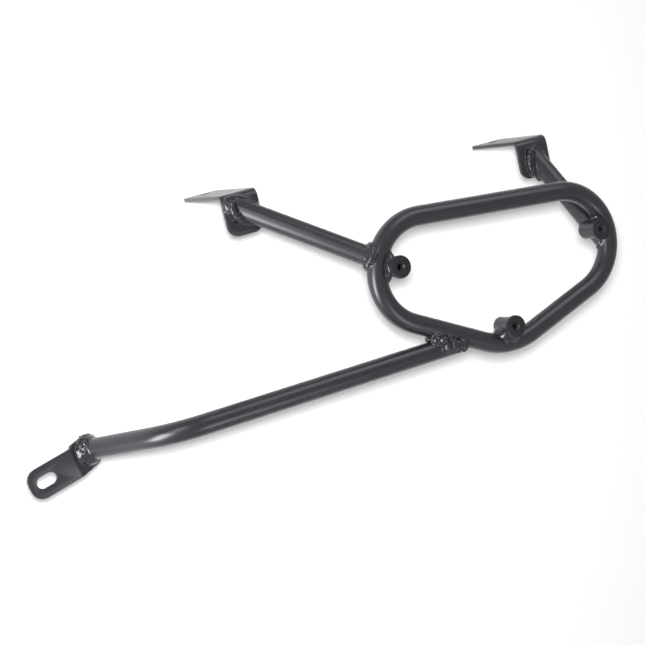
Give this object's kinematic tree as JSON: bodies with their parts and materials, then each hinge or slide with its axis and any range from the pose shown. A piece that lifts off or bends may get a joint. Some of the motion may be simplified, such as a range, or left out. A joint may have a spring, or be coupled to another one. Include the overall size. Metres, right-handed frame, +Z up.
{
  "type": "pannier frame",
  "caption": "Bent-tube side carrier for a motorbike pannier: a closed hoop with threaded bosses, held out from the bike by welded stays that end in bolt-on plates.",
  "frame": {"origin": "middle of the front bracket's bolt hole, halfway through the plate", "axes": "+X rearward along the motorbike, +Y inward toward it, +Z up"},
  "size_m": [0.5085, 0.1562, 0.2146],
  "materials": {
    "frame_paint": "black satin powder coat",
    "weld_paint": "black powder coat, glossier where it flows over the weld beads"
  },
  "bodies": {
    "root": {"hoop_tube": "frame_paint", "hoop_seam_weld": "weld_paint", "front_stay": "frame_paint", "rear_stay": "frame_paint", "lower_stay": "frame_paint", "front_bracket": "frame_paint", "rear_bracket": "frame_paint", "lower_bracket": "frame_paint", "front_boss": "frame_paint", "rear_boss": "frame_paint", "lower_boss": "frame_paint", "front_boss_weld": "weld_paint", "rear_boss_weld": "weld_paint", "lower_boss_weld": "weld_paint", "front_stay_hoop_weld": "weld_paint", "rear_stay_hoop_weld": "weld_paint", "lower_stay_hoop_weld": "weld_paint", "front_bracket_weld": "weld_paint", "rear_bracket_weld": "weld_paint", "lower_bracket_weld": "weld_paint"}
  },
  "joints": []
}
